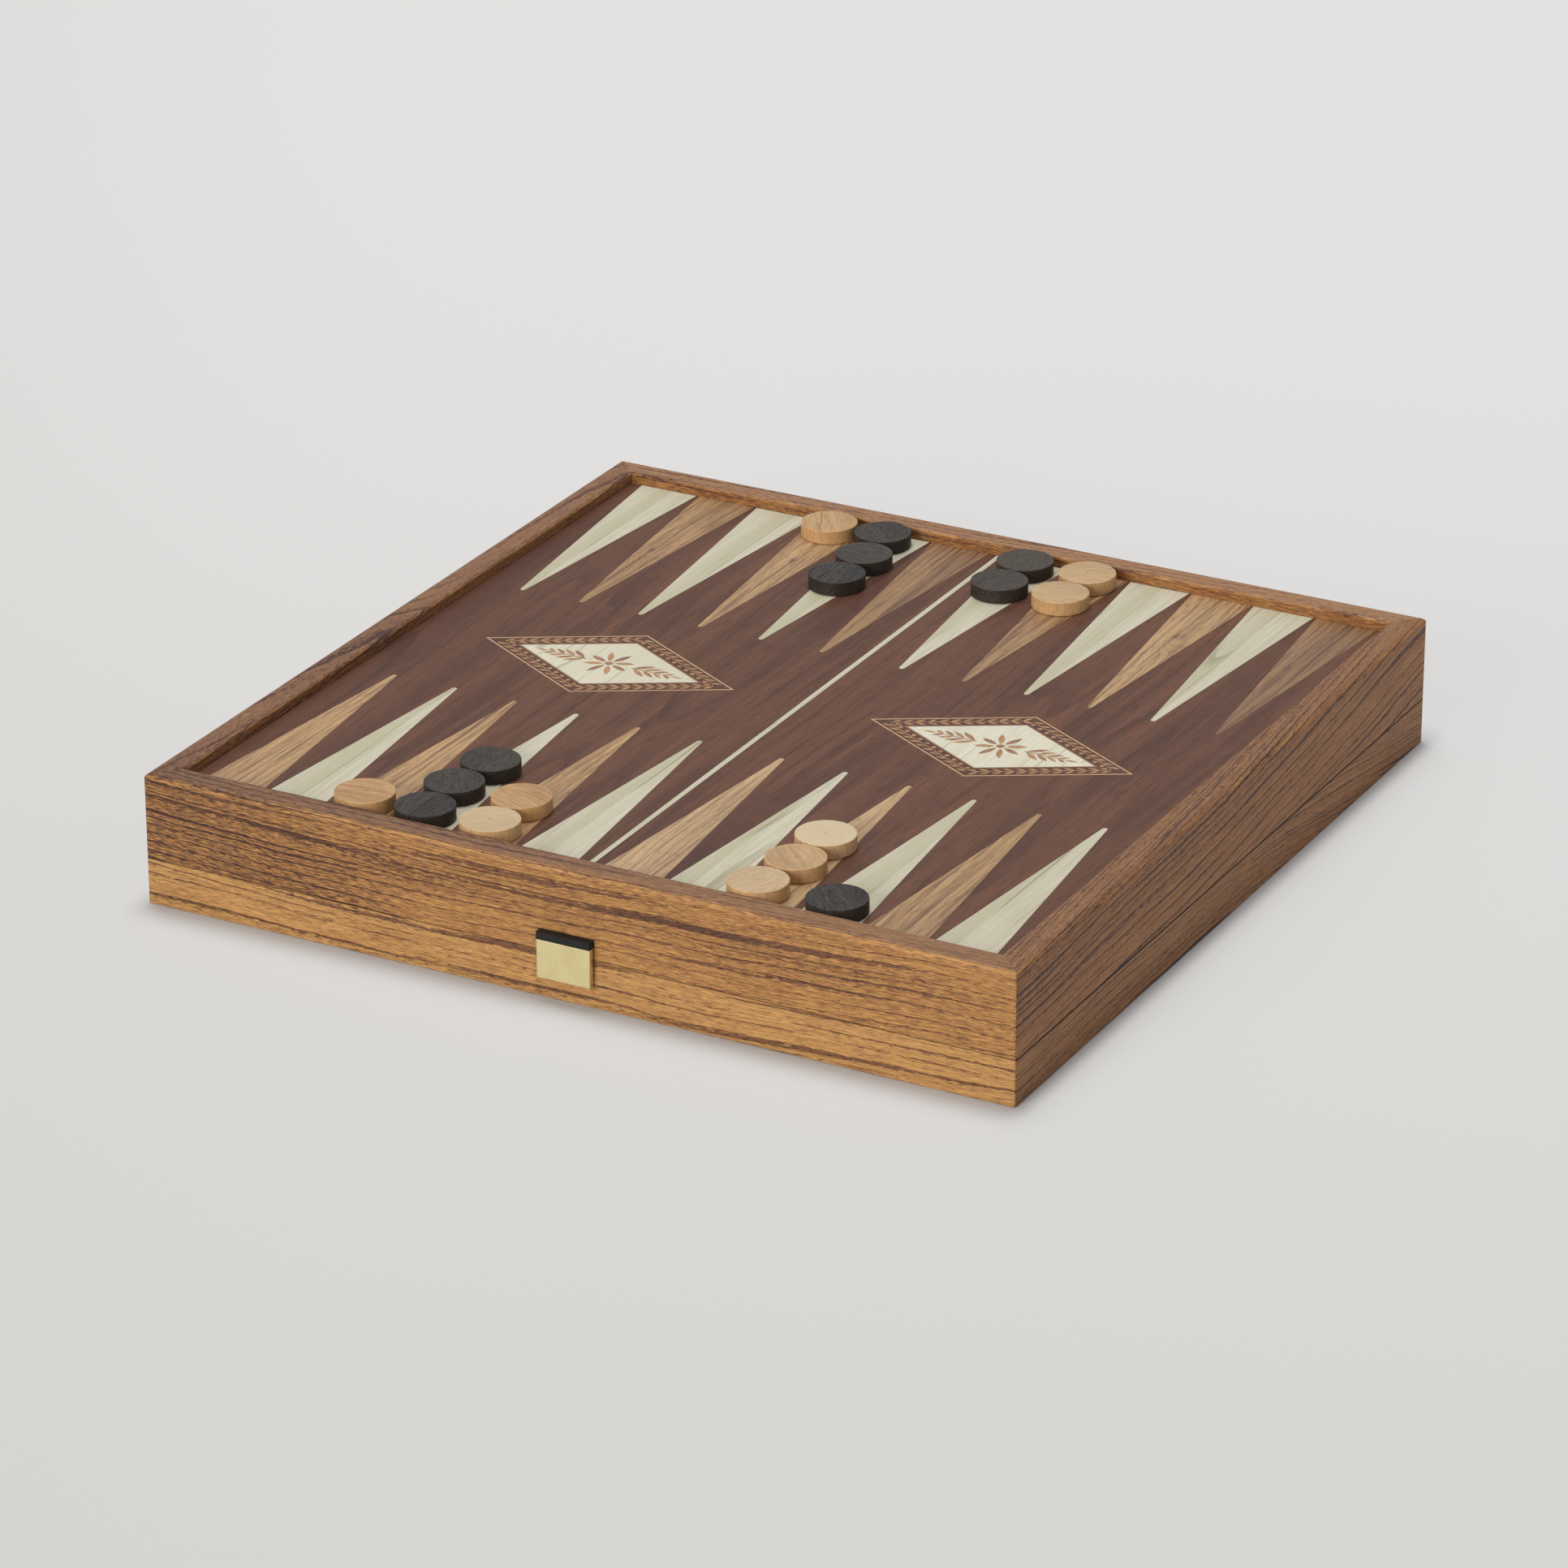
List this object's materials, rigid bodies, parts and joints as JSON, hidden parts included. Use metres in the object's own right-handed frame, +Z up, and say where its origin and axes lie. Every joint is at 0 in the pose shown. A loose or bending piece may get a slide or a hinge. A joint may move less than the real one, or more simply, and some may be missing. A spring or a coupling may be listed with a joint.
{
  "type": "backgammon board",
  "caption": "Square hinged wooden games box whose deep lid carries an inlaid backgammon field in a shallow tray, with loose checkers, a storage base and a magnetic clasp.",
  "frame": {"origin": "centre of the flat underside of the base, where the closed box rests", "axes": "+X to the right along the clasp side, +Y from the clasp to the hinges, +Z up"},
  "size_m": [0.41, 0.4182, 0.0613],
  "materials": {
    "walnut": "satin, open grain",
    "plywood": "plain",
    "felt": "matt pile",
    "mahogany_veneer": "satin",
    "oak_inlay": "satin",
    "maple_inlay": "satin",
    "beech_checkers": "satin",
    "ebonised_checkers": "satin, open grain",
    "dice": "gloss",
    "brass": "satin",
    "satin_gold": "satin",
    "steel": "satin",
    "black_rubber": "matt"
  },
  "bodies": {
    "base": {"base_front_wall": "walnut", "base_back_wall": "walnut", "base_left_wall": "walnut", "base_right_wall": "walnut", "base_floor": "plywood", "base_lining": "felt", "trough_divider": "walnut", "centre_stop": "walnut", "left_stop": "walnut", "right_stop": "walnut", "stored_dark_checkers": "ebonised_checkers", "stored_light_checkers": "beech_checkers", "dice": "dice", "left_base_leaf": "brass", "right_base_leaf": "brass", "left_hinge_pin": "brass", "right_hinge_pin": "brass", "base_leaf_screws": "brass", "clasp_keeper": "steel"},
    "lid": {"lid_front_wall": "walnut", "lid_back_wall": "walnut", "lid_left_wall": "walnut", "lid_right_wall": "walnut", "playing_panel": "plywood", "lid_lining": "felt", "field_veneer": "mahogany_veneer", "front_pale_points": "maple_inlay", "front_oak_points": "oak_inlay", "back_pale_points": "maple_inlay", "back_oak_points": "oak_inlay", "centre_strip": "maple_inlay", "medallion_lines": "oak_inlay", "medallion_borders": "mahogany_veneer", "medallion_centres": "maple_inlay", "left_lid_leaf": "brass", "right_lid_leaf": "brass", "lid_leaf_screws": "brass", "clasp_block": "black_rubber", "clasp_cap": "satin_gold", "clasp_magnet": "steel", "clasp_screws": "steel"},
    "dark_checker_1": {"dark_checker_1": "ebonised_checkers"},
    "dark_checker_2": {"dark_checker_2": "ebonised_checkers"},
    "dark_checker_3": {"dark_checker_3": "ebonised_checkers"},
    "dark_checker_4": {"dark_checker_4": "ebonised_checkers"},
    "dark_checker_5": {"dark_checker_5": "ebonised_checkers"},
    "dark_checker_6": {"dark_checker_6": "ebonised_checkers"},
    "dark_checker_7": {"dark_checker_7": "ebonised_checkers"},
    "dark_checker_8": {"dark_checker_8": "ebonised_checkers"},
    "dark_checker_9": {"dark_checker_9": "ebonised_checkers"},
    "light_checker_1": {"light_checker_1": "beech_checkers"},
    "light_checker_2": {"light_checker_2": "beech_checkers"},
    "light_checker_3": {"light_checker_3": "beech_checkers"},
    "light_checker_4": {"light_checker_4": "beech_checkers"},
    "light_checker_5": {"light_checker_5": "beech_checkers"},
    "light_checker_6": {"light_checker_6": "beech_checkers"},
    "light_checker_7": {"light_checker_7": "beech_checkers"},
    "light_checker_8": {"light_checker_8": "beech_checkers"},
    "light_checker_9": {"light_checker_9": "beech_checkers"}
  },
  "joints": [
    {"name": "lid_hinge", "type": "hinge", "parent": "base", "child": "lid", "pos_m": [0, 0.2068, 0.021], "axis": [-1, 0, 0], "range_deg": [0, 120]},
    {"name": "dark_checker_1_lift", "type": "slide", "parent": "lid", "child": "dark_checker_1", "axis": [0, 0, 1], "range_m": [0, 0.03]},
    {"name": "dark_checker_2_lift", "type": "slide", "parent": "lid", "child": "dark_checker_2", "axis": [0, 0, 1], "range_m": [0, 0.03]},
    {"name": "dark_checker_3_lift", "type": "slide", "parent": "lid", "child": "dark_checker_3", "axis": [0, 0, 1], "range_m": [0, 0.03]},
    {"name": "dark_checker_4_lift", "type": "slide", "parent": "lid", "child": "dark_checker_4", "axis": [0, 0, 1], "range_m": [0, 0.03]},
    {"name": "dark_checker_5_lift", "type": "slide", "parent": "lid", "child": "dark_checker_5", "axis": [0, 0, 1], "range_m": [0, 0.03]},
    {"name": "dark_checker_6_lift", "type": "slide", "parent": "lid", "child": "dark_checker_6", "axis": [0, 0, 1], "range_m": [0, 0.03]},
    {"name": "dark_checker_7_lift", "type": "slide", "parent": "lid", "child": "dark_checker_7", "axis": [0, 0, 1], "range_m": [0, 0.03]},
    {"name": "dark_checker_8_lift", "type": "slide", "parent": "lid", "child": "dark_checker_8", "axis": [0, 0, 1], "range_m": [0, 0.03]},
    {"name": "dark_checker_9_lift", "type": "slide", "parent": "lid", "child": "dark_checker_9", "axis": [0, 0, 1], "range_m": [0, 0.03]},
    {"name": "light_checker_1_lift", "type": "slide", "parent": "lid", "child": "light_checker_1", "axis": [0, 0, 1], "range_m": [0, 0.03]},
    {"name": "light_checker_2_lift", "type": "slide", "parent": "lid", "child": "light_checker_2", "axis": [0, 0, 1], "range_m": [0, 0.03]},
    {"name": "light_checker_3_lift", "type": "slide", "parent": "lid", "child": "light_checker_3", "axis": [0, 0, 1], "range_m": [0, 0.03]},
    {"name": "light_checker_4_lift", "type": "slide", "parent": "lid", "child": "light_checker_4", "axis": [0, 0, 1], "range_m": [0, 0.03]},
    {"name": "light_checker_5_lift", "type": "slide", "parent": "lid", "child": "light_checker_5", "axis": [0, 0, 1], "range_m": [0, 0.03]},
    {"name": "light_checker_6_lift", "type": "slide", "parent": "lid", "child": "light_checker_6", "axis": [0, 0, 1], "range_m": [0, 0.03]},
    {"name": "light_checker_7_lift", "type": "slide", "parent": "lid", "child": "light_checker_7", "axis": [0, 0, 1], "range_m": [0, 0.03]},
    {"name": "light_checker_8_lift", "type": "slide", "parent": "lid", "child": "light_checker_8", "axis": [0, 0, 1], "range_m": [0, 0.03]},
    {"name": "light_checker_9_lift", "type": "slide", "parent": "lid", "child": "light_checker_9", "axis": [0, 0, 1], "range_m": [0, 0.03]}
  ]
}
